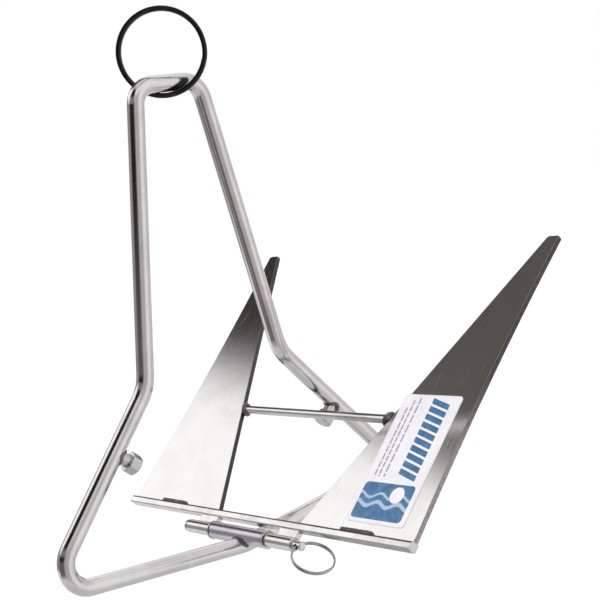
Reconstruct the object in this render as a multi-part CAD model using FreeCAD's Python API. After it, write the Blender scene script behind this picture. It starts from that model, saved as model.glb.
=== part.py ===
import FreeCAD, Part
import math
import os
from FreeCAD import Vector as V

# Hinged twin-fluke boat anchor: a bent-rod shank loop that hangs from a split
# ring, a sleeve welded at the foot of the loop, and a pair of flukes that swings
# on a pin through the sleeve until its cross rod meets a stop on either leg.
# Millimetres. +Z up the shank, X along the hinge pin, Y across the shank loop.
# The heights below are measured from the pin; everything is then set down so
# that the centre of the big ring is the origin.

# ---- shank loop (round rod, centreline corners and bend radii)
ROD_R = 6.0
BOW_HALF, BOW_Z, BOW_BEND = 26.4, 322.0, 15.0
SHOULDER_HALF, SHOULDER_Z, SHOULDER_BEND = 59.6, 121.7, 32.0
HEEL_HALF, HEEL_Z, HEEL_BEND = 160.0, 9.0, 17.0
FOOT_Z, FOOT_BEND = -6.4, 40.0

# ---- hinge: sleeve on the shank, knuckles on the flukes, pin through both
SLEEVE_R, SLEEVE_X0, SLEEVE_X1 = 6.2, -34.0, 26.0
BORE_R = 3.25
PIN_R = 3.175
WASHER_R, WASHER_T, WASHER_GAP = 6.6, 1.2, 0.3
KNUCKLE_R, KNUCKLE_LEN = 4.9, 28.0
PIN_HEAD_R, PIN_HEAD_T = 4.6, 3.0
PIN_TAIL = 8.8             # pin beyond the right knuckle
PIN_HOLE_R, PIN_HOLE_FROM_END = 2.0, 4.4

# ---- flukes, leaning back on the rear stop
LEAN = 47.4                # degrees from the shank's centreline
BASE_Y, BASE_Z = 13.0, 11.5   # front upper edge of the crown bar
BAR_FRONT, BAR_BACK, BAR_H, BAR_HALF = 3.0, 4.0, 6.0, 157.6
BAR_NOSE = 1.8
PLATE_T = 4.0
FLUKE_IN, FLUKE_OUT, FLUKE_LEN = 45.5, 157.0, 245.8
TIP_IN, TIP_OUT = 149.6, 160.4
EDGE_HOLLOW = 3.2          # how far the outer edge curves in at mid length
TIP_ROUND = 2.6
CROSS_S, CROSS_R = 88.9, 3.25
BEAD_X0, BEAD_X1, BEAD_W = 87.0, 120.0, 2.6
LABEL_X0, LABEL_X1, LABEL_S0, LABEL_S1, LABEL_T = 88.0, 142.0, 8.0, 109.0, 0.25

# ---- stops on the legs: a short stud with a hex head
STOP_FRONT, STOP_REAR = 48.5, 65.8     # distance down the leg from the shoulder corner
STOP_NECK_R, STOP_AF, STOP_HEAD0, STOP_TIP = 4.4, 12.5, 11.3, 19.5

# ---- big split ring, two coils
RING_R, RING_WIRE, RING_GAP = 29.4, 1.75, 0.12
RING_AZ = 40.0             # the ring's axis, degrees from +X towards -Y
RING_TOUCH = 0.55          # clearance under the bow
# ---- small split ring on the pin
SR_R, SR_WIRE, SR_GAP = 14.6, 0.68, 0.06
SR_ROLL = -4.0             # the pin's cross hole, degrees below level at the back
SR_TIP = 60.0              # the ring is flopped outwards by this much

ZC = BOW_Z + RING_R - (ROD_R + RING_WIRE + RING_TOUCH)   # pin to ring centre
os.makedirs("parts", exist_ok=True)


def out(name, shapes):
    shapes = shapes if isinstance(shapes, list) else [shapes]
    solids = []
    for s in shapes:
        solids += s.Solids
    for s in solids:
        if not s.isValid():
            raise RuntimeError(name + " is not valid")
    shape = solids[0] if len(solids) == 1 else Part.makeCompound(solids)
    shape = shape.copy()
    shape.translate(V(0, 0, -ZC))
    shape.exportStep("parts/" + name + ".step")
    print(name, len(solids), round(shape.Volume, 1))
    return shape


def cyl(r, p0, p1):
    d = p1.sub(p0)
    return Part.makeCylinder(r, d.Length, p0, d)


def disc_face(r, p, n):
    return Part.Face(Part.Wire(Part.makeCircle(r, p, n)))


def bent_loop(corners, r):
    """Closed bent rod in the YZ plane: corners are (y, z, bend radius)."""
    n = len(corners)
    tang = []
    pieces = []
    for i in range(n):
        p = V(0, corners[i][0], corners[i][1])
        a = V(0, corners[i - 1][0], corners[i - 1][1])
        b = V(0, corners[(i + 1) % n][0], corners[(i + 1) % n][1])
        d1 = p.sub(a).normalize()
        d2 = b.sub(p).normalize()
        turn = d1.getAngle(d2)
        t = corners[i][2] * math.tan(turn / 2)
        start = p.sub(V(d1).multiply(t))
        end = p.add(V(d2).multiply(t))
        m = V(d2).sub(d1).normalize()
        c = p.add(m.multiply(corners[i][2] / math.cos(turn / 2)))
        axis = d1.cross(d2)
        bend = disc_face(r, start, d1).revolve(c, axis, math.degrees(turn))
        pieces.append(bend)
        tang.append((start, end))
    for i in range(n):
        pieces.append(cyl(r, tang[i][1], tang[(i + 1) % n][0]))
    body = pieces[0]
    body = body.fuse(pieces[1:]).removeSplitter()
    return body


def split_ring(radius, wire, gap, jog_deg, lean=0.45):
    """Two-turn split ring about +Z, centred on the origin, with its crossing at +X."""
    h = wire + gap / 2.0
    jog = math.radians(jog_deg)
    t0, t1 = jog * 1.15, 4 * math.pi - jog * 1.15
    pts = []
    n = 150
    for i in range(n + 1):
        t = t0 + (t1 - t0) * i / n
        u = (t - (2 * math.pi - jog)) / (2 * jog)
        u = min(1.0, max(0.0, u))
        k = u * u * (3 - 2 * u)
        rr = radius + lean * wire * math.cos(t / 2.0) * 0.5
        pts.append(V(rr * math.cos(t), rr * math.sin(t), -h + 2 * h * k))
    curve = Part.BSplineCurve()
    curve.interpolate(pts)
    edge = curve.toShape()
    tan = curve.tangent(curve.FirstParameter)[0]
    prof = Part.Wire(Part.makeCircle(wire, pts[0], tan))
    return Part.Wire(edge).makePipeShell([prof], True, True)


def frame_place(origin, xdir, ydir, zdir):
    m = FreeCAD.Matrix(
        xdir.x, ydir.x, zdir.x, origin.x,
        xdir.y, ydir.y, zdir.y, origin.y,
        xdir.z, ydir.z, zdir.z, origin.z,
        0, 0, 0, 1)
    return FreeCAD.Placement(m)


def placed(shape, placement):
    s = shape.copy()
    s.Placement = placement.multiply(s.Placement)
    return s


# ---------------------------------------------------------------- shank
loop = bent_loop([
    (0.0, FOOT_Z, FOOT_BEND),
    (HEEL_HALF, HEEL_Z, HEEL_BEND),
    (SHOULDER_HALF, SHOULDER_Z, SHOULDER_BEND),
    (BOW_HALF, BOW_Z, BOW_BEND),
    (-BOW_HALF, BOW_Z, BOW_BEND),
    (-SHOULDER_HALF, SHOULDER_Z, SHOULDER_BEND),
    (-HEEL_HALF, HEEL_Z, HEEL_BEND)], ROD_R)
sleeve_solid = cyl(SLEEVE_R, V(SLEEVE_X0, 0, 0), V(SLEEVE_X1, 0, 0))
rod = loop.cut(sleeve_solid)
out("shank_rod", rod)

sleeve = sleeve_solid.cut(cyl(BORE_R, V(-80, 0, 0), V(80, 0, 0)))
sleeve = sleeve.makeChamfer(0.5, [e for e in sleeve.Edges
                                  if isinstance(e.Curve, Part.Circle)
                                  and abs(e.Curve.Radius - SLEEVE_R) < 1e-6])
out("hinge_sleeve", sleeve)

# weld beads along both sides of the rod, where the sleeve lies in its notch
beads = []
for side in (-1, 1):
    for end in (-1, 1):
        x = end * 6.1
        b = Part.makeSphere(3.0, V(x, side * 5.2, -3.6))
        b2 = Part.makeSphere(2.6, V(end * 2.2, side * 6.6, -0.9))
        c = cyl(2.5, V(x, side * 5.2, -3.6), V(end * 2.2, side * 6.6, -0.9))
        beads.append(b.fuse([b2, c]))
bead_f = beads[0].fuse(beads[1]).cut(sleeve_solid).cut(loop)
bead_r = beads[2].fuse(beads[3]).cut(sleeve_solid).cut(loop)
out("sleeve_weld_front", [s for s in bead_f.Solids if s.Volume > 2])
out("sleeve_weld_rear", [s for s in bead_r.Solids if s.Volume > 2])

# stops
leg = V(0, HEEL_HALF - SHOULDER_HALF, HEEL_Z - SHOULDER_Z).normalize()
inward = V(0, leg.z, -leg.y)
if inward.y > 0:
    inward = inward.multiply(-1)


def stop(dist):
    base = V(0, SHOULDER_HALF, SHOULDER_Z).add(V(leg).multiply(dist))
    neck = Part.makeCylinder(STOP_NECK_R, STOP_TIP - 1, V(0, 0, 0), V(0, 0, 1))
    hexr = STOP_AF / math.sqrt(3)
    pts = [V(hexr * math.cos(math.radians(60 * i + 30)),
             hexr * math.sin(math.radians(60 * i + 30)), STOP_HEAD0) for i in range(7)]
    head = Part.Face(Part.makePolygon(pts)).extrude(V(0, 0, STOP_TIP - STOP_HEAD0))
    hh = STOP_TIP - STOP_HEAD0
    cone = Part.makeCone(STOP_AF / 2 - 0.5 + hh / math.tan(math.radians(30)), STOP_AF / 2 - 0.5, hh,
                         V(0, 0, STOP_HEAD0), V(0, 0, 1))
    head = head.common(cone)
    bolt = neck.fuse(head).removeSplitter()
    collar = Part.makeCone(7.2, 4.6, 3.6, V(0, 0, 5.2), V(0, 0, 1))
    # local z is the stud axis, local x stays X, local y runs along the leg
    pl = frame_place(base, V(1, 0, 0), V(inward).cross(V(1, 0, 0)), inward)
    bolt = placed(bolt, pl).cut(loop)
    weld = placed(collar, pl).cut(loop).cut(placed(neck, pl))
    return bolt, weld


def front(shape):
    return shape.mirror(V(0, 0, 0), V(0, 1, 0))


b, w = stop(STOP_REAR)
out("stop_stud_rear", b)
out("stop_weld_rear", w)
b, w = stop(STOP_FRONT)
out("stop_stud_front", front(b))
out("stop_weld_front", front(w))

# ---------------------------------------------------------------- flukes
a = math.radians(LEAN)
S = V(0, math.sin(a), math.cos(a))
N = V(0, -math.cos(a), math.sin(a))
O = V(0, BASE_Y, BASE_Z).sub(V(N).multiply(BAR_FRONT))
FL = frame_place(O, V(1, 0, 0), S, N)


def box(x0, x1, s0, s1, n0, n1):
    return Part.makeBox(x1 - x0, s1 - s0, n1 - n0, V(x0, s0, n0))


bar = box(-BAR_HALF, BAR_HALF, -BAR_H, 0, -BAR_BACK, BAR_FRONT)
# its upper front edge is rolled round, the others are only broken
nose = [e for e in bar.Edges if e.Length > 100 and abs(e.CenterOfMass.y) < 1e-6
        and abs(e.CenterOfMass.z - BAR_FRONT) < 1e-6]
bar = bar.makeFillet(BAR_NOSE, nose)
bar = bar.makeChamfer(0.6, [e for e in bar.Edges if isinstance(e.Curve, Part.Line)
                            and e.CenterOfMass.y < -BAR_NOSE and abs(e.CenterOfMass.x) > -1
                            and e.Length > 3.0 and abs(e.CenterOfMass.y + BAR_H) < 1e-6])
out("crown_bar", placed(bar, FL))

# one fluke: straight inner edge, slightly hollow outer edge, blunt tip
p_in, p_out = V(FLUKE_IN, 0, -PLATE_T), V(FLUKE_OUT, 0, -PLATE_T)
p_tin, p_tout = V(TIP_IN, FLUKE_LEN, -PLATE_T), V(TIP_OUT, FLUKE_LEN, -PLATE_T)
mid = V((FLUKE_OUT + TIP_OUT) / 2 - EDGE_HOLLOW, FLUKE_LEN * 0.52, -PLATE_T)
wire = Part.Wire([
    Part.makeLine(p_in, p_out),
    Part.Arc(p_out, mid, p_tout).toShape(),
    Part.makeLine(p_tout, p_tin),
    Part.makeLine(p_tin, p_in)])
fluke = Part.Face(wire).extrude(V(0, 0, PLATE_T))
tips = [e for e in fluke.Edges
        if abs(e.Vertexes[0].Point.x - e.Vertexes[-1].Point.x) < 1e-6
        and abs(e.Vertexes[0].Point.y - FLUKE_LEN) < 1e-6
        and abs(e.Vertexes[-1].Point.y - FLUKE_LEN) < 1e-6 and e.Length < PLATE_T + 0.1]
fluke = fluke.makeFillet(TIP_ROUND, tips)
rims = [e for e in fluke.Edges if e.Length > 60 and
        (e.Vertexes[0].Point.y > 200 or e.Vertexes[-1].Point.y > 200)]
fluke = fluke.makeChamfer(0.7, rims)
fluke_r = placed(fluke, FL)
fluke_l = placed(fluke.mirror(V(0, 0, 0), V(1, 0, 0)), FL)
out("fluke_right", fluke_r)
out("fluke_left", fluke_l)

# weld bead at the middle of each base, in the step between plate and bar
bead = Part.makeCylinder(BEAD_W, BEAD_X1 - BEAD_X0 - 2 * BEAD_W, V(BEAD_X0 + BEAD_W, 0, 0), V(1, 0, 0))
bead = bead.fuse([Part.makeSphere(BEAD_W, V(BEAD_X0 + BEAD_W, 0, 0)),
                  Part.makeSphere(BEAD_W, V(BEAD_X1 - BEAD_W, 0, 0))])
bead = bead.common(box(BEAD_X0 - 5, BEAD_X1 + 5, 0, 10, 0, 10))
out("fluke_weld_right", placed(bead, FL))
out("fluke_weld_left", placed(bead.mirror(V(0, 0, 0), V(1, 0, 0)), FL))

# cross rod between the inner edges, with a weld at each end
cross = cyl(CROSS_R, V(-95, CROSS_S, -PLATE_T / 2), V(95, CROSS_S, -PLATE_T / 2))


def edge_x(s):
    return FLUKE_IN + (TIP_IN - FLUKE_IN) * s / FLUKE_LEN


def beyond(shift):
    """everything outside the fluke's inner edge line, both sides"""
    pts = [V(edge_x(-20) + shift, -20, -20), V(400, -20, -20), V(400, 300, -20),
           V(edge_x(300) + shift, 300, -20), V(edge_x(-20) + shift, -20, -20)]
    s = Part.Face(Part.makePolygon(pts)).extrude(V(0, 0, 40))
    return s, s.mirror(V(0, 0, 0), V(1, 0, 0))


for s in beyond(0.0):
    cross = cross.cut(s)
out("cross_rod", placed(cross, FL))
xe = edge_x(CROSS_S)
collar = Part.makeCone(6.4, 3.6, 6.0, V(-xe - 1.5, CROSS_S, -PLATE_T / 2), V(1, 0, 0))
collar = collar.cut(beyond(0.0)[1]).cut(cyl(CROSS_R, V(-150, CROSS_S, -PLATE_T / 2), V(0, CROSS_S, -PLATE_T / 2)))
collar = max(collar.Solids, key=lambda q: q.Volume)
out("cross_rod_weld_left", placed(collar, FL))
out("cross_rod_weld_right", placed(collar.mirror(V(0, 0, 0), V(1, 0, 0)), FL))

# knuckles either side of the sleeve, carried on short lugs under the crown bar
KL1 = SLEEVE_X0 - WASHER_T - 2 * WASHER_GAP
KL0 = KL1 - KNUCKLE_LEN
KR0 = SLEEVE_X1 + WASHER_T + 2 * WASHER_GAP
KR1 = KR0 + KNUCKLE_LEN
bore = cyl(BORE_R, V(-120, 0, 0), V(120, 0, 0))
rel = V(0, 0, 0).sub(O)
pin_s, pin_n = rel.dot(S), rel.dot(N)
for name, x0, x1 in (("left", KL0, KL1), ("right", KR0, KR1)):
    tube = cyl(KNUCKLE_R, V(x0, 0, 0), V(x1, 0, 0)).cut(bore)
    tube = tube.makeChamfer(0.4, [e for e in tube.Edges
                                  if isinstance(e.Curve, Part.Circle)
                                  and abs(e.Curve.Radius - KNUCKLE_R) < 1e-6])
    out("knuckle_" + name, tube)
    lug = placed(box(x0 + 4, x1 - 4, pin_s - 1.0, -BAR_H, -2.2, BAR_FRONT - 0.8), FL)
    lug = lug.cut(cyl(KNUCKLE_R, V(-120, 0, 0), V(120, 0, 0)))
    out("lug_" + name, lug.Solids[0] if len(lug.Solids) == 1 else max(lug.Solids, key=lambda q: q.Volume))

# sticker on the right fluke
label = box(LABEL_X0, LABEL_X1, LABEL_S0, LABEL_S1, 0, LABEL_T)
label = label.makeFillet(3.0, [e for e in label.Edges if abs(e.Length - LABEL_T) < 1e-6])
out("label", placed(label, FL))

# ---------------------------------------------------------------- pin and rings
pin_end = KR1 + PIN_TAIL
pin = cyl(PIN_R, V(KL0 - 0.5, 0, 0), V(pin_end, 0, 0))
pin = pin.makeChamfer(0.7, [e for e in pin.Edges if isinstance(e.Curve, Part.Circle)
                            and e.CenterOfMass.x > pin_end - 0.1])
head = cyl(PIN_HEAD_R, V(KL0 - 0.3 - PIN_HEAD_T, 0, 0), V(KL0 - 0.3, 0, 0))
head = head.makeFillet(1.6, [e for e in head.Edges if isinstance(e.Curve, Part.Circle)
                             and e.CenterOfMass.x < KL0 - PIN_HEAD_T])
hole_x = pin_end - PIN_HOLE_FROM_END
r = math.radians(SR_ROLL)
t_dir = V(0, math.cos(r), -math.sin(r))        # along the cross hole
down = V(0, -math.sin(r), -math.cos(r))
hole = cyl(PIN_HOLE_R, V(hole_x, 0, 0).sub(V(t_dir).multiply(8)), V(hole_x, 0, 0).add(V(t_dir).multiply(8)))
out("hinge_pin", pin.fuse(head).cut(hole).removeSplitter())

for name, x in (("left", SLEEVE_X0 - WASHER_GAP - WASHER_T), ("right", SLEEVE_X1 + WASHER_GAP)):
    out("hinge_washer_" + name, cyl(WASHER_R, V(x, 0, 0), V(x + WASHER_T, 0, 0)).cut(pin))

q = math.radians(SR_TIP)
d_dir = V(math.sin(q), 0, 0).add(V(down).multiply(math.cos(q)))
centre = V(hole_x, 0, 0).add(V(d_dir).multiply(SR_R))
n_dir = d_dir.cross(t_dir)
small = split_ring(SR_R, SR_WIRE, SR_GAP, 20.0, 0.0)
small = placed(small, FreeCAD.Placement(V(0, 0, 0), FreeCAD.Rotation(V(0, 0, 1), 35)))
out("pin_split_ring", placed(small, frame_place(centre, d_dir, n_dir.cross(d_dir), n_dir)))

z = math.radians(RING_AZ)
rn = V(math.cos(z), -math.sin(z), 0)
ring = split_ring(RING_R, RING_WIRE, RING_GAP, 16.0, 0.0)
rx = V(0, 0, 1).cross(rn)
out("rode_ring", placed(ring, frame_place(V(0, 0, ZC), rx, rn.cross(rx), rn)))
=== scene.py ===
import bmesh
import bpy
import math
from mathutils import Matrix, Vector


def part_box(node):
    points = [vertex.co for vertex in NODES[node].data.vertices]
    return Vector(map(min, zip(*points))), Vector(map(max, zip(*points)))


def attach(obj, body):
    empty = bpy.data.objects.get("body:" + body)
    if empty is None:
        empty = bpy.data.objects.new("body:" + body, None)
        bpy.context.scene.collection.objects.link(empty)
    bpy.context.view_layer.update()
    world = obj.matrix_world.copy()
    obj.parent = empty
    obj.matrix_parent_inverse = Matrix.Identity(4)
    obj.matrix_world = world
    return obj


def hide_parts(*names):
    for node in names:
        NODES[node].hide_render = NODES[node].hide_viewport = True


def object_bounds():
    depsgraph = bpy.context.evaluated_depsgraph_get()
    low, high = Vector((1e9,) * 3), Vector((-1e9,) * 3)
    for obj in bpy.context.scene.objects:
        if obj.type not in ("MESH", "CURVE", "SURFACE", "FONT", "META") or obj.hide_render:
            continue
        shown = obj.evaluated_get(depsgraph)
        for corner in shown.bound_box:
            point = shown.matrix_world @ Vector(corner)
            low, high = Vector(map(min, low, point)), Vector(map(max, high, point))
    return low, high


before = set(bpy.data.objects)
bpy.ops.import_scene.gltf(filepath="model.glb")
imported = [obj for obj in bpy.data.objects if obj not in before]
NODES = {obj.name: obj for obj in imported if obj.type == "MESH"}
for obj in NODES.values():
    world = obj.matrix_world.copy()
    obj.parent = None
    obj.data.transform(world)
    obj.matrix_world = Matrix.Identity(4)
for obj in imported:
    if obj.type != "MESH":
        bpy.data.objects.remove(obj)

CAD_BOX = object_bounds()
scene = bpy.context.scene

# ---------------------------------------------------------------- places, in metres, in the CAD frame
pin_lo, pin_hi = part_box("hinge_pin")
PIN_Z = (pin_lo.z + pin_hi.z) / 2
FLUKE_O = Vector((0.0, 0.01503, PIN_Z + 0.00929))      # foot of the flukes, front face
FLUKE_S = Vector((0.0, 0.73610, 0.67688))              # up a fluke
FLUKE_N = Vector((0.0, -0.67688, 0.73610))             # out of its front face
LOW_Z = CAD_BOX[0].z

# ---------------------------------------------------------------- camera, at the photograph's angle
right = Vector((0.6495, 0.7436, -0.1589)).normalized()
ahead = Vector((-0.7600, 0.6410, -0.1070))
ahead = (ahead - right * ahead.dot(right)).normalized()
up = right.cross(ahead).normalized()
cam_data = bpy.data.cameras.new("camera")
cam_data.sensor_width = 36.0
cam_data.lens = 78.0
cam_data.clip_start = 0.01
cam_data.clip_end = 60.0
cam = bpy.data.objects.new("camera", cam_data)
scene.collection.objects.link(cam)
cam.matrix_world = Matrix((
    (right.x, up.x, -ahead.x, 0.7324),
    (right.y, up.y, -ahead.y, -0.5310),
    (right.z, up.z, -ahead.z, -0.0862),
    (0.0, 0.0, 0.0, 1.0)))
scene.camera = cam
scene.view_settings.view_transform = "Standard"
scene.view_settings.look = "None"


# ---------------------------------------------------------------- node helpers
class Net:
    """A node tree being built, with one short call for each kind of node."""

    def __init__(self, tree):
        self.tree = tree
        tree.nodes.clear()

    def add(self, kind, **settings):
        node = self.tree.nodes.new(kind)
        for key, value in settings.items():
            setattr(node, key, value)
        return node

    def put(self, socket, value):
        if isinstance(value, bpy.types.NodeSocket):
            self.tree.links.new(value, socket)
        else:
            socket.default_value = value

    def math(self, op, a, b=0.0, c=0.0, clamp=False):
        node = self.add("ShaderNodeMath", operation=op, use_clamp=clamp)
        self.put(node.inputs[0], a)
        self.put(node.inputs[1], b)
        if op in ("MULTIPLY_ADD", "COMPARE", "SMOOTH_MIN", "SMOOTH_MAX", "WRAP"):
            self.put(node.inputs[2], c)
        return node.outputs[0]

    def dot(self, vector, axis):
        node = self.add("ShaderNodeVectorMath", operation="DOT_PRODUCT")
        self.put(node.inputs[0], vector)
        node.inputs[1].default_value = axis
        return node.outputs["Value"]

    def step(self, value, lo, hi, to_lo=0.0, to_hi=1.0):
        node = self.add("ShaderNodeMapRange", interpolation_type="SMOOTHSTEP")
        self.put(node.inputs["Value"], value)
        node.inputs["From Min"].default_value = lo
        node.inputs["From Max"].default_value = hi
        node.inputs["To Min"].default_value = to_lo
        node.inputs["To Max"].default_value = to_hi
        return node.outputs["Result"]

    def mix(self, factor, a, b, kind="MIX"):
        node = self.add("ShaderNodeMix", data_type="RGBA", blend_type=kind)
        self.put(node.inputs[0], factor)
        for socket, value in ((node.inputs[6], a), (node.inputs[7], b)):
            if isinstance(value, bpy.types.NodeSocket):
                self.tree.links.new(value, socket)
            else:
                socket.default_value = (*value, 1.0)
        return node.outputs[2]

    def noise(self, vector, scale, detail=3.0, rough=0.5, distort=0.0):
        node = self.add("ShaderNodeTexNoise", noise_dimensions="3D")
        self.put(node.inputs["Vector"], vector)
        node.inputs["Scale"].default_value = scale
        node.inputs["Detail"].default_value = detail
        node.inputs["Roughness"].default_value = rough
        node.inputs["Distortion"].default_value = distort
        return node.outputs["Fac"]

    def frame_of(self, vector, ax, ay, az):
        """The vector in a frame with those axes, stretched by their lengths."""
        node = self.add("ShaderNodeCombineXYZ")
        for i, axis in enumerate((ax, ay, az)):
            self.put(node.inputs[i], self.dot(vector, axis))
        return node.outputs[0]

    def box2(self, u, v, u0, u1, v0, v1, round_=0.0, soft=0.00008):
        """1 inside a rectangle with rounded corners, 0 outside."""
        cu, cv = (u0 + u1) / 2, (v0 + v1) / 2
        hu, hv = (u1 - u0) / 2 - round_, (v1 - v0) / 2 - round_
        du = self.math("MAXIMUM", self.math("SUBTRACT", self.math("ABSOLUTE", self.math("SUBTRACT", u, cu)), hu), 0.0)
        dv = self.math("MAXIMUM", self.math("SUBTRACT", self.math("ABSOLUTE", self.math("SUBTRACT", v, cv)), hv), 0.0)
        d = self.math("SQRT", self.math("ADD", self.math("MULTIPLY", du, du), self.math("MULTIPLY", dv, dv)))
        return self.step(d, round_ + soft, round_ + 1e-7 if round_ > soft else 0.0, 0.0, 1.0)


def material(name):
    mat = bpy.data.materials.new(name)
    mat.use_nodes = True
    net = Net(mat.node_tree)
    out = net.add("ShaderNodeOutputMaterial")
    bsdf = net.add("ShaderNodeBsdfPrincipled")
    mat.node_tree.links.new(bsdf.outputs[0], out.inputs[0])
    return mat, net, bsdf


def steel(name, base, dull, rough, grain=(1.0, 1.0, 1.0), axes=None, scratch=0.35,
          grain_amount=0.10, bump=0.0000035, wear=0.5, smudge=0.06, aniso=0.0):
    """Stainless steel: a drawn or rolled grain, finer scratches across it, dull patches where it was
    handled and brighter edges where it rubs."""
    mat, net, bsdf = material(name)
    coord = net.add("ShaderNodeTexCoord").outputs["Object"]
    if axes is None:
        axes = ((1, 0, 0), (0, 1, 0), (0, 0, 1))
    along = net.frame_of(coord, *[tuple(c * g for c in a) for a, g in zip(axes, grain)])
    fine = net.noise(along, 2600.0, 3.0, 0.62)
    broad = net.noise(along, 420.0, 3.0, 0.55, 0.2)
    patch = net.noise(coord, 34.0, 4.0, 0.55, 0.6)
    speck = net.noise(coord, 1500.0, 2.0, 0.6)
    cross = net.frame_of(coord, *[tuple(c * g for c in a) for a, g in zip(axes, (1300.0, 50.0, 1900.0))])
    wave = net.noise(cross, 0.8, 2.0, 0.4, 0.5)
    lines = net.step(wave, 0.655, 0.70)
    # rubbed edges
    bevel = net.add("ShaderNodeBevel", samples=4)
    bevel.inputs["Radius"].default_value = 0.0007
    geo = net.add("ShaderNodeNewGeometry")
    flat = net.add("ShaderNodeVectorMath", operation="DOT_PRODUCT")
    net.put(flat.inputs[0], bevel.outputs[0])
    net.put(flat.inputs[1], geo.outputs["Normal"])
    edge = net.step(flat.outputs["Value"], 0.985, 0.86)
    edge = net.math("MULTIPLY", edge, net.step(net.noise(coord, 260.0, 3.0, 0.6), 0.34, 0.62))
    edge = net.math("MULTIPLY", edge, wear)
    colour = net.mix(net.step(patch, 0.35, 0.75, 0.0, 1.0), base, dull)
    colour = net.mix(net.math("MULTIPLY", net.step(speck, 0.60, 0.74), 0.30), colour, tuple(c * 0.72 for c in dull))
    colour = net.mix(edge, colour, tuple(min(1.0, c * 1.12) for c in base))
    # painted shade in the inner corners and between parts, taken from occlusion, partly oxide and dirt
    corner = net.add("ShaderNodeAmbientOcclusion", samples=6, only_local=False)
    corner.inputs["Distance"].default_value = 0.0042
    corner_shade_and_grime = net.step(corner.outputs["AO"], 0.66, 0.30)
    corner_shade_and_grime = net.math("MULTIPLY", corner_shade_and_grime, net.step(net.noise(coord, 190.0, 3.0, 0.6), 0.22, 0.50, 0.35, 0.92))
    colour = net.mix(corner_shade_and_grime, colour, (0.085, 0.072, 0.066))
    net.put(bsdf.inputs["Base Color"], colour)
    bsdf.inputs["Metallic"].default_value = 1.0
    r = net.math("ADD", rough, net.math("MULTIPLY", corner_shade_and_grime, 0.30))
    r = net.math("ADD", r, net.math("MULTIPLY", net.math("SUBTRACT", fine, 0.5), grain_amount))
    r = net.math("ADD", r, net.math("MULTIPLY", net.math("SUBTRACT", patch, 0.45), smudge * 2.0))
    r = net.math("ADD", r, net.math("MULTIPLY", lines, scratch * 0.25))
    r = net.math("ADD", r, net.math("MULTIPLY", edge, 0.06), clamp=True)
    net.put(bsdf.inputs["Roughness"], net.math("MAXIMUM", r, 0.05))
    if aniso:
        bsdf.inputs["Anisotropic"].default_value = aniso
    height = net.math("ADD", net.math("MULTIPLY", fine, 0.5), net.math("MULTIPLY", broad, 0.8))
    height = net.math("SUBTRACT", height, net.math("MULTIPLY", lines, scratch))
    b = net.add("ShaderNodeBump")
    b.inputs["Strength"].default_value = 0.55
    b.inputs["Distance"].default_value = bump
    net.put(b.inputs["Height"], height)
    net.put(b.inputs["Normal"], bevel.outputs[0])
    net.put(bsdf.inputs["Normal"], b.outputs[0])
    return mat


def weld_steel(name):
    """Weld metal as laid: ripples, straw to purple heat colour and grey scale in the hollows."""
    mat, net, bsdf = material(name)
    coord = net.add("ShaderNodeTexCoord").outputs["Object"]
    hue = net.noise(coord, 120.0, 3.0, 0.5, 0.8)
    ramp = net.add("ShaderNodeValToRGB")
    net.put(ramp.inputs[0], hue)
    e = ramp.color_ramp.elements
    e[0].position, e[0].color = 0.30, (0.20, 0.17, 0.20, 1)
    e[1].position, e[1].color = 0.72, (0.46, 0.42, 0.38, 1)
    mid = e.new(0.47)
    mid.color = (0.25, 0.215, 0.185, 1)
    mid2 = e.new(0.58)
    mid2.color = (0.22, 0.21, 0.25, 1)
    grit = net.noise(coord, 1400.0, 3.0, 0.65)
    colour = net.mix(net.step(grit, 0.52, 0.70, 0.0, 0.55), ramp.outputs[0], (0.09, 0.08, 0.08))
    net.put(bsdf.inputs["Base Color"], colour)
    bsdf.inputs["Metallic"].default_value = 1.0
    net.put(bsdf.inputs["Roughness"], net.math("ADD", 0.34, net.math("MULTIPLY", grit, 0.22)))
    b = net.add("ShaderNodeBump")
    b.inputs["Strength"].default_value = 0.8
    b.inputs["Distance"].default_value = 0.00015
    net.put(b.inputs["Height"], net.math("ADD", grit, net.math("MULTIPLY", net.noise(coord, 420.0, 2.0), 1.5)))
    net.put(bsdf.inputs["Normal"], b.outputs[0])
    return mat


def ground_edges(mat, normal, colour=(0.15, 0.140, 0.136), dull=(0.075, 0.070, 0.068)):
    """The sawn and ground rim of a plate: duller, darker and marked across its thickness."""
    tree = mat.node_tree
    bsdf = [n for n in tree.nodes if n.type == "BSDF_PRINCIPLED"][0]
    net = Net.__new__(Net)
    net.tree = tree
    texco = net.add("ShaderNodeTexCoord")
    face = net.math("ABSOLUTE", net.dot(texco.outputs["Normal"], normal))
    rim = net.step(face, 0.95, 0.84)
    marks = net.noise(net.frame_of(texco.outputs["Object"], (1500, 0, 0), tuple(1500 * c for c in FLUKE_S),
                                   tuple(160 * c for c in FLUKE_N)), 1.0, 3.0, 0.6)
    tone = net.mix(net.step(marks, 0.38, 0.62), dull, colour)
    # the outer rims are scuffed bright where they drag, low down
    at = texco.outputs["Object"]
    low = net.step(net.math("SUBTRACT", net.dot(at, tuple(FLUKE_S)), FLUKE_O.dot(FLUKE_S)), 0.135, 0.045)
    low = net.math("MULTIPLY", low, net.step(net.math("ABSOLUTE", net.dot(at, (1, 0, 0))), 0.120, 0.145))
    worn = net.mix(net.step(marks, 0.36, 0.60), (0.27, 0.245, 0.235), (0.56, 0.515, 0.50))
    tone = net.mix(low, tone, worn)
    old = bsdf.inputs["Base Color"].links[0].from_socket
    net.put(bsdf.inputs["Base Color"], net.mix(rim, old, tone))
    old = bsdf.inputs["Roughness"].links[0].from_socket
    rough = net.math("MULTIPLY_ADD", marks, 0.20, 0.34)
    blend = net.add("ShaderNodeMix", data_type="FLOAT")
    net.put(blend.inputs[0], rim)
    net.put(blend.inputs[2], old)
    net.put(blend.inputs[3], rough)
    net.put(bsdf.inputs["Roughness"], blend.outputs[0])
    return mat


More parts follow.
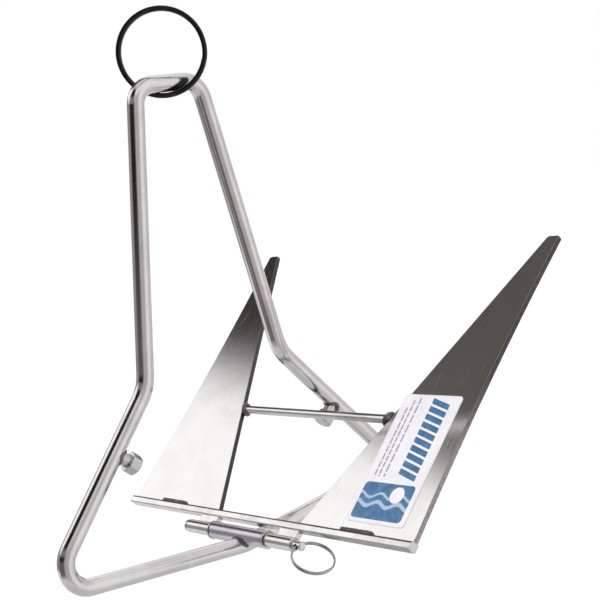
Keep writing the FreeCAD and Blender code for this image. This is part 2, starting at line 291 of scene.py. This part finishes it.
S, N = tuple(FLUKE_S), tuple(FLUKE_N)
ROD = steel("rod_polished", (0.80, 0.785, 0.775), (0.70, 0.68, 0.68), 0.15, grain=(1, 1, 0.06),
            scratch=0.4, grain_amount=0.10, smudge=0.05)
SLEEVE = steel("sleeve_satin", (0.66, 0.64, 0.70), (0.55, 0.53, 0.60), 0.27, grain=(0.05, 1, 1),
               scratch=0.5, grain_amount=0.14, smudge=0.05)
KNUCKLE = steel("knuckle_bright", (0.80, 0.79, 0.77), (0.68, 0.68, 0.66), 0.20, grain=(0.05, 1, 1),
                scratch=0.4, grain_amount=0.12)
BAR = steel("bar_bright", (0.82, 0.81, 0.80), (0.68, 0.67, 0.65), 0.18, grain=(0.04, 1, 1),
            scratch=0.5, grain_amount=0.12, smudge=0.07)
FLUKE = steel("fluke_rolled", (0.78, 0.77, 0.78), (0.735, 0.722, 0.725), 0.11,
              grain=(1.0, 0.035, 1.0), axes=((1, 0, 0), S, N), scratch=0.35, grain_amount=0.08,
              smudge=0.025, wear=0.20)
ground_edges(FLUKE, N)


def underside_shade(mat):
    """Painted shade greying the underside of the crown bar, heavier towards its right end, and a painted
    dark shadow line along its upper front edge."""
    tree = mat.node_tree
    bsdf = [n for n in tree.nodes if n.type == "BSDF_PRINCIPLED"][0]
    net = Net.__new__(Net)
    net.tree = tree
    texco = net.add("ShaderNodeTexCoord")
    at = texco.outputs["Object"]
    # painted shade: faces turned downwards are greyed, more towards the right end
    under = net.step(net.dot(texco.outputs["Normal"], S), -0.55, -0.85)
    along = net.step(net.math("ADD", net.dot(at, (1, 0, 0)), net.math("MULTIPLY", net.noise(at, 60.0, 3.0), 0.04)), -0.010, 0.120)
    near = net.step(net.dot(at, (1, 0, 0)), 0.1570, 0.1560)
    amount = net.math("MULTIPLY", net.math("MULTIPLY", under, along), near)
    grit = net.mix(net.step(net.noise(at, 500.0, 3.0), 0.38, 0.62), (0.27, 0.275, 0.26), (0.38, 0.385, 0.37))
    old = bsdf.inputs["Base Color"].links[0].from_socket
    tone = net.mix(amount, old, grit)
    # a painted dark shadow line on the rounded upper front edge, broken up by noise
    up = net.dot(texco.outputs["Normal"], S)
    upper_edge_shadow = net.math("MULTIPLY", net.step(up, 0.10, 0.34), net.step(up, 0.985, 0.93))
    upper_edge_shadow = net.math("MULTIPLY", upper_edge_shadow, net.step(net.noise(at, 110.0, 3.0), 0.25, 0.42, 0.45, 0.95))
    tone = net.mix(upper_edge_shadow, tone, (0.075, 0.060, 0.062))
    net.put(bsdf.inputs["Base Color"], tone)
    return mat


underside_shade(BAR)
STUD = steel("stud_machined", (0.70, 0.69, 0.67), (0.56, 0.55, 0.53), 0.22, grain=(1, 0.2, 1), scratch=0.5)
PIN = steel("pin_ground", (0.76, 0.76, 0.75), (0.64, 0.63, 0.62), 0.17, grain=(1, 0.06, 0.06), scratch=0.3)
RING = steel("ring_wire", (0.040, 0.037, 0.037), (0.020, 0.019, 0.019), 0.20, grain=(1, 1, 1), scratch=0.3,
             grain_amount=0.06)
SMALL_RING = steel("small_ring_wire", (0.66, 0.65, 0.63), (0.50, 0.49, 0.47), 0.16, scratch=0.2)
WELD = weld_steel("weld_tinted")


# ---------------------------------------------------------------- the sticker: plain shapes, no words
def sticker():
    mat, net, bsdf = material("label_print")
    coord = net.add("ShaderNodeTexCoord").outputs["Object"]
    u = net.math("SUBTRACT", net.dot(coord, (1, 0, 0)), 0.0)
    v = net.math("SUBTRACT", net.dot(coord, S), FLUKE_O.dot(FLUKE_S))
    paper = net.noise(coord, 90.0, 3.0, 0.5)
    white = net.mix(net.step(paper, 0.3, 0.8), (0.93, 0.92, 0.95), (0.86, 0.85, 0.90))
    blue = net.mix(net.step(net.noise(coord, 160.0, 3.0, 0.6), 0.35, 0.7), (0.030, 0.135, 0.300), (0.075, 0.225, 0.42))
    pale = (0.42, 0.56, 0.72)
    grey = (0.34, 0.33, 0.38)
    colour = white
    # picture block: a rounded field with two pale wave bands
    block = net.box2(u, v, 0.0905, 0.1375, 0.0110, 0.0385, 0.003)
    swell = net.math("SINE", net.math("MULTIPLY", u, 330.0))
    v_wave = net.math("ADD", v, net.math("MULTIPLY", swell, 0.0018))
    band = net.math("MULTIPLY", net.step(v_wave, 0.0205, 0.0212), net.step(v_wave, 0.0242, 0.0235))
    band2 = net.math("MULTIPLY", net.step(v_wave, 0.0275, 0.0280), net.step(v_wave, 0.0300, 0.0295))
    du = net.math("SUBTRACT", u, 0.1240)
    dv = net.math("SUBTRACT", v, 0.0305)
    d = net.math("SQRT", net.math("ADD", net.math("MULTIPLY", du, du), net.math("MULTIPLY", dv, dv)))
    disc = net.step(d, 0.0062, 0.0060)
    field = net.mix(net.math("MAXIMUM", band, band2), blue, pale)
    field = net.mix(disc, field, white)
    colour = net.mix(block, colour, field)
    # a run of even slanted bars along the fluke
    lean = net.math("ADD", v, net.math("MULTIPLY", net.math("SUBTRACT", u, 0.125), 0.28))
    marks = None
    at = 0.0440
    for i in range(10):
        width, gap, lo, hi = 0.0043, 0.0019, 0.1160, 0.1330
        one = net.box2(u, lean, lo, hi, at, at + width, 0.0006)
        marks = one if marks is None else net.math("MAXIMUM", marks, one)
        at += width + gap
    colour = net.mix(marks, colour, blue)
    # thin broken rules
    rules = None
    for lo, v0, v1, pitch in ((0.0945, 0.044, 0.098, 0.0062), (0.0985, 0.043, 0.104, 0.0050),
                              (0.1035, 0.043, 0.106, 0.0078)):
        dash = net.math("FRACT", net.math("DIVIDE", v, pitch))
        one = net.math("MULTIPLY", net.box2(u, v, lo, lo + 0.0014, v0, v1), net.step(dash, 0.86, 0.80))
        rules = one if rules is None else net.math("MAXIMUM", rules, one)
    colour = net.mix(rules, colour, grey)
    # rubbed, slightly yellowed rim
    rim = net.math("SUBTRACT", 1.0, net.box2(u, v, 0.0890, 0.1410, 0.0090, 0.1080, 0.001, 0.0010))
    colour = net.mix(net.math("MULTIPLY", rim, 0.35), colour, (0.74, 0.71, 0.72))
    scuff = net.step(net.noise(net.frame_of(coord, (900, 0, 0), tuple(90 * c for c in S), (0, 0, 0)), 1.0, 3.0, 0.6), 0.66, 0.74)
    colour = net.mix(net.math("MULTIPLY", scuff, 0.28), colour, (0.78, 0.77, 0.80))
    net.put(bsdf.inputs["Base Color"], colour)
    net.put(bsdf.inputs["Roughness"], net.math("ADD", 0.24, net.math("MULTIPLY", net.noise(coord, 300.0), 0.16)))
    bsdf.inputs["Coat Weight"].default_value = 0.25
    bsdf.inputs["Coat Roughness"].default_value = 0.12
    b = net.add("ShaderNodeBump")
    b.inputs["Strength"].default_value = 0.25
    b.inputs["Distance"].default_value = 0.00008
    net.put(b.inputs["Height"], net.noise(coord, 60.0, 3.0, 0.5))
    net.put(bsdf.inputs["Normal"], b.outputs[0])
    return mat


LABEL = sticker()

PAINT = {
    "shank_rod": ROD, "hinge_sleeve": SLEEVE, "knuckle_left": KNUCKLE, "knuckle_right": KNUCKLE,
    "crown_bar": BAR, "cross_rod": BAR, "lug_left": BAR, "lug_right": BAR,
    "fluke_left": FLUKE, "fluke_right": FLUKE, "stop_stud_front": STUD, "stop_stud_rear": STUD,
    "hinge_pin": PIN, "hinge_washer_left": PIN, "hinge_washer_right": PIN,
    "rode_ring": RING, "pin_split_ring": SMALL_RING, "label": LABEL,
}
for name, obj in NODES.items():
    mat = PAINT.get(name, WELD)
    obj.data.materials.clear()
    obj.data.materials.append(mat)


# ---------------------------------------------------------------- weld beads, laid in overlapping ripples
def bead(name, node, body, path, radius, pitch=0.0014, closed=False, lean=0.45, seed=0.0):
    """A weld bead along a path: a round ridge with a crescent ripple at every step of the arc."""
    seg = []
    pts = [Vector(p) for p in path]
    if closed:
        pts.append(pts[0].copy())
    for a, b in zip(pts, pts[1:]):
        seg.append((b - a).length)
    total = sum(seg)
    count = max(24, int(total / pitch * 8))
    around = 20

    def at(t):
        d = max(0.0, min(total, t))
        for i, length in enumerate(seg):
            if d <= length or i == len(seg) - 1:
                return pts[i].lerp(pts[i + 1], d / length if length else 0.0)
            d -= length

    rings, verts, faces = [], [], []
    last_n = None
    steps = count if closed else count + 1
    for i in range(steps):
        t = total * i / count
        h = total / count
        if closed:
            p, q, r = at(t), at((t + h) % total), at((t - h) % total)
        else:
            p, q, r = at(t), at(t + h), at(t - h)
        tan = (q - r).normalized()
        ref = last_n if last_n is not None else (Vector((0.3, 0.2, 1.0)) if abs(tan.z) < 0.9 else Vector((1.0, 0.2, 0.1)))
        n1 = (ref - tan * ref.dot(tan)).normalized()
        last_n = n1
        n2 = tan.cross(n1)
        taper = 1.0
        if not closed:
            e = min(t, total - t) / (1.5 * radius)
            taper = 0.35 + 0.65 * math.sqrt(max(0.0, 1 - (1 - min(1.0, e)) ** 2))
        ring = []
        for k in range(around):
            ang = 2 * math.pi * k / around
            phase = (t + lean * pitch * math.cos(2 * ang)) / pitch + seed
            saw = phase - math.floor(phase)
            ripple = 0.10 * (saw ** 1.6) - 0.04
            wob = 0.035 * math.sin(7.1 * phase + 2.3 * math.cos(ang) + seed)
            rad = radius * taper * (1.0 + ripple + wob)
            verts.append(p + (n1 * math.cos(ang) + n2 * math.sin(ang)) * rad)
            ring.append(len(verts) - 1)
        rings.append(ring)
    pairs = list(zip(rings, rings[1:] + ([rings[0]] if closed else [])))
    if not closed:
        pairs = pairs[:len(rings) - 1]
    shift = 0
    for idx, (ra, rb) in enumerate(pairs):
        if closed and idx == len(pairs) - 1:
            best = min(range(around), key=lambda k: (verts[ra[0]] - verts[rb[k]]).length)
            shift = best
        for k in range(around):
            j = (k + 1) % around
            faces.append((ra[k], ra[j], rb[(j + shift) % around], rb[(k + shift) % around]))
    if not closed:
        faces.append(tuple(rings[0][::-1]))
        faces.append(tuple(rings[-1]))
    mesh = bpy.data.meshes.new(name)
    mesh.from_pydata(verts, [], faces)
    mesh.validate()
    for poly in mesh.polygons:
        poly.use_smooth = True
    obj = bpy.data.objects.new(name, mesh)
    scene.collection.objects.link(obj)
    bm = bmesh.new()
    bm.from_mesh(mesh)
    bmesh.ops.recalc_face_normals(bm, faces=bm.faces)
    bm.to_mesh(mesh)
    bm.free()
    mesh.materials.append(WELD)
    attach(obj, body)
    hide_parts(node)
    return obj


def on_fluke(x, s_, n):
    return Vector((x, 0.0, 0.0)) + FLUKE_O + FLUKE_S * s_ + FLUKE_N * n


PIN_AT = Vector((0.0, 0.0, PIN_Z))
for side, name in ((-1, "left"), (1, "right")):
    lo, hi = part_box("fluke_weld_" + name)
    x0, x1 = (lo.x + 0.0012, hi.x - 0.0012)
    row = [on_fluke(x0 + (x1 - x0) * i / 24, 0.0006 + 0.00022 * math.sin(i * 1.7), 0.00045) for i in range(25)]
    bead("fluke_bead_" + name, "fluke_weld_" + name, "flukes", row, 0.00195, 0.0016, seed=0.3 * side)
    lo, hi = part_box("cross_rod_weld_" + name)
    # the rod meets the slanting inner edge of the plate
    end = hi.x - 0.0030 if side > 0 else lo.x + 0.0030
    loop = []
    for i in range(40):
        f = 2 * math.pi * i / 40
        ds, dn = 0.0040 * math.cos(f), 0.0033 * math.sin(f)
        loop.append(on_fluke(end + side * (ds * 0.42 - 0.0012), 0.0889 + ds, -0.0020 + dn))
    bead("cross_bead_" + name, "cross_rod_weld_" + name, "flukes", loop, 0.00165, 0.0015, closed=True, seed=1.1 * side)

# sleeve to rod: along the line where the two round bars meet, front and back
for side, name in ((-1, "front"), (1, "rear")):
    arch = []
    for i in range(41):
        f = math.radians(-6 + 192 * i / 40)
        x = 0.0062 * math.cos(f)
        z = -0.0064 + 0.0062 * math.sin(f)
        inside = max(0.0, 0.0063 ** 2 - z * z)
        y = side * max(0.0030, math.sqrt(inside) + 0.0003)
        arch.append(PIN_AT + Vector((x, y, z)))
    bead("sleeve_bead_" + name, "sleeve_weld_" + name, "shank", arch, 0.00150, 0.0015, seed=0.7 * side)

# stop studs to the legs: a saddle-shaped fillet round each stud
for side, name in ((-1, "front"), (1, "rear")):
    lo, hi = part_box("stop_weld_" + name)
    s_lo, s_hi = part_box("stop_stud_" + name)
    leg = Vector((0.0, side * 0.6652, -0.7467)).normalized()
    inward = Vector((0.0, -side * 0.7467, -0.6652)).normalized()
    # the stud's axis passes through the middle of its box
    mid = (s_lo + s_hi) / 2
    wmid = (lo + hi) / 2
    base = mid - inward * (mid - wmid).dot(inward)
    base = base - inward * 0.0070
    loop = []
    for i in range(48):
        f = 2 * math.pi * i / 48
        dx, dl = 0.0050 * math.cos(f), 0.0050 * math.sin(f)
        h = math.sqrt(max(0.0, 0.0060 ** 2 - dx * dx))
        loop.append(base + Vector((dx, 0, 0)) + leg * dl + inward * (h + 0.0002))
    bead("stop_bead_" + name, "stop_weld_" + name, "shank", loop, 0.00150, 0.0015, closed=True, seed=2.1 * side)


# ---------------------------------------------------------------- floor
def floor():
    mesh = bpy.data.meshes.new("floor")
    z = LOW_Z - 0.25
    n, size = 24, 9.0
    verts, faces = [], []
    for i in range(n + 1):
        for j in range(n + 1):
            verts.append((-size + 2 * size * i / n, -size + 2 * size * j / n, z))
    for i in range(n):
        for j in range(n):
            a = i * (n + 1) + j
            faces.append((a, a + n + 1, a + n + 2, a + 1))
    mesh.from_pydata(verts, [], faces)
    obj = bpy.data.objects.new("floor", mesh)
    scene.collection.objects.link(obj)
    mat, net, bsdf = material("floor_pale")
    coord = net.add("ShaderNodeTexCoord").outputs["Object"]
    net.put(bsdf.inputs["Base Color"], net.mix(net.noise(coord, 3.0, 3.0), (0.93, 0.93, 0.93), (0.90, 0.90, 0.90)))
    net.put(bsdf.inputs["Roughness"], net.math("ADD", 0.75, net.math("MULTIPLY", net.noise(coord, 40.0), 0.1)))
    mesh.materials.append(mat)
    obj.visible_glossy = False      # the studio below is what the polished steel mirrors
    return obj


floor()


# ---------------------------------------------------------------- studio: a white tent with one dark side
def studio():
    world = bpy.data.worlds.new("studio")
    scene.world = world
    world.use_nodes = True
    net = Net(world.node_tree)
    d = net.add("ShaderNodeTexCoord").outputs["Generated"]
    x, y, z = (net.dot(d, a) for a in ((1, 0, 0), (0, 1, 0), (0, 0, 1)))
    level = net.math("SQRT", net.math("ADD", net.math("MULTIPLY", x, x), net.math("MULTIPLY", y, y)))

    def towards(azimuth, outer, inner):
        """1 within inner degrees of that compass direction, 0 beyond outer degrees."""
        a = math.radians(azimuth)
        turn = net.math("DIVIDE", net.dot(d, (math.cos(a), math.sin(a), 0.0)), level)
        return net.step(turn, math.cos(math.radians(outer)), math.cos(math.radians(inner)))

    # flag beyond the object on its far left, which the upper halves of the flukes mirror
    rise = net.math("MULTIPLY", net.math("MAXIMUM", net.math("SUBTRACT", z, 0.64), 0.0), 0.55)
    flag = net.math("ADD", net.math("ADD", y, rise), net.math("MULTIPLY_ADD", z, 0.55, -0.2305))
    flag = net.step(flag, -0.036, 0.028)
    flag = net.math("MULTIPLY", flag, net.step(x, -0.34, -0.50))
    flag = net.math("MULTIPLY", flag, net.step(z, 0.95, 0.88))
    flag = net.math("MULTIPLY", flag, net.step(z, 0.22, 0.40))
    flag = net.math("MULTIPLY", flag, net.step(y, 0.45, 0.25))
    # standing flag on the camera's left, which the legs of the loop mirror as a dark line
    stand = net.math("MULTIPLY", towards(-88.0, 44.0, 26.0), net.step(z, -0.62, -0.40))
    stand = net.math("MULTIPLY", stand, net.step(z, 0.97, 0.85))
    behind = net.math("MULTIPLY", towards(-146.0, 62.0, 46.0), net.step(net.math("ABSOLUTE", net.math("SUBTRACT", z, 0.05)), 0.36, 0.24))
    front = net.math("MULTIPLY", towards(-30.0, 44.0, 14.0), net.step(net.math("ABSOLUTE", z), 0.75, 0.45))
    side = net.math("MULTIPLY", towards(78.0, 44.0, 20.0), net.step(net.math("ABSOLUTE", z), 0.85, 0.55))
    tent = net.mix(net.step(z, 0.80, 0.97), (0.90, 0.89, 0.90), (0.40, 0.39, 0.41))
    tent = net.mix(net.step(z, -0.25, -0.85), tent, (0.62, 0.61, 0.62))
    strip = net.math("MULTIPLY", net.step(net.math("ABSOLUTE", x), 0.20, 0.08), net.step(z, 0.90, 0.96))
    tent = net.mix(strip, tent, (0.85, 0.85, 0.86))
    box = net.step(net.dot(d, tuple(Vector((-0.79, -0.30, 0.54)).normalized())), 0.90, 0.965)
    tent = net.mix(box, tent, (1.24, 1.22, 1.21))
    dim = net.mix(net.step(z, 0.61, 0.69), (0.014, 0.012, 0.011), (0.108, 0.099, 0.090))
    colour = net.mix(flag, tent, dim)
    colour = net.mix(side, colour, (0.68, 0.64, 0.67))
    colour = net.mix(front, colour, (0.50, 0.46, 0.475))
    dark = net.mix(net.step(z, 0.10, 0.26), (0.150, 0.130, 0.135), (0.006, 0.004, 0.004))
    gap = net.math("MULTIPLY", net.step(z, 0.35, 0.42), net.step(z, 0.66, 0.58))
    dark = net.mix(gap, dark, (0.24, 0.23, 0.23))
    colour = net.mix(behind, colour, (0.330, 0.305, 0.310))
    colour = net.mix(stand, colour, dark)
    path = net.add("ShaderNodeLightPath")
    seen = net.mix(path.outputs["Is Camera Ray"], colour, (1.0, 1.0, 1.0))
    bg = net.add("ShaderNodeBackground")
    net.put(bg.inputs["Color"], seen)
    bg.inputs["Strength"].default_value = 1.0
    out = net.add("ShaderNodeOutputWorld")
    world.node_tree.links.new(bg.outputs[0], out.inputs[0])


studio()


def soft_sun(name, down, strength, spread):
    light = bpy.data.lights.new(name, "SUN")
    light.energy = strength
    light.angle = math.radians(spread)
    obj = bpy.data.objects.new(name, light)
    scene.collection.objects.link(obj)
    obj.rotation_mode = "QUATERNION"
    obj.rotation_quaternion = Vector(down).to_track_quat("-Z", "Y")
    obj.visible_glossy = False      # the steel mirrors the studio's walls and ceiling, not the lamp
    return obj


soft_sun("top_soft", (-0.15, 0.10, -1.0), 2.10, 60.0)
